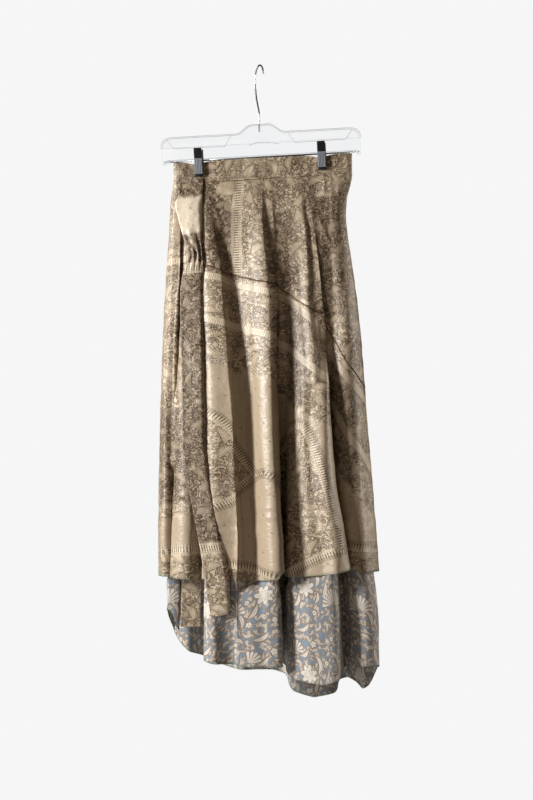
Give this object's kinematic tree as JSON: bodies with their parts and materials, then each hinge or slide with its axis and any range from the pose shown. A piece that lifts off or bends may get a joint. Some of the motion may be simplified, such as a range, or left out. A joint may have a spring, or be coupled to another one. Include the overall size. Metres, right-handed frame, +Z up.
{
  "type": "wrap skirt on a clip hanger",
  "caption": "Ankle-length layered wrap skirt in gold and blue silk with sewn ties and a longer printed underlayer, hanging from a clear bar hanger with spring clips and a wire hook.",
  "frame": {"origin": "inside top of the hanger's hook, where a rail bears", "axes": "+Z up, -Y the front of the skirt, +X to the viewer's right when facing the front"},
  "size_m": [0.3949, 0.1645, 1.1299],
  "materials": {
    "silk": "satin weave silk, gold and brown print",
    "band": "satin weave silk, darker print, folded double",
    "print": "matt printed silk, slate blue ground",
    "clear_plastic": "clear moulded acrylic",
    "steel": "plated steel wire and strip",
    "grip": "black moulded grip"
  },
  "bodies": {
    "root": {"waistband": "band", "overskirt_front_upper": "silk", "overskirt_front_lower": "silk", "overskirt_back_upper": "silk", "overskirt_back_lower": "silk", "overskirt_side": "silk", "underskirt_front_upper": "print", "underskirt_front_lower": "print", "underskirt_back_upper": "print", "underskirt_back_middle": "print", "underskirt_back_lower": "print", "underskirt_side": "print", "tie_outer": "silk", "tie_inner": "silk", "hanger_bar": "clear_plastic", "hanger_hook": "steel", "hanger_rod": "steel", "clip_left_front": "grip", "clip_left_back": "grip", "clip_left_spring": "steel", "clip_right_front": "grip", "clip_right_back": "grip", "clip_right_spring": "steel"}
  },
  "joints": []
}
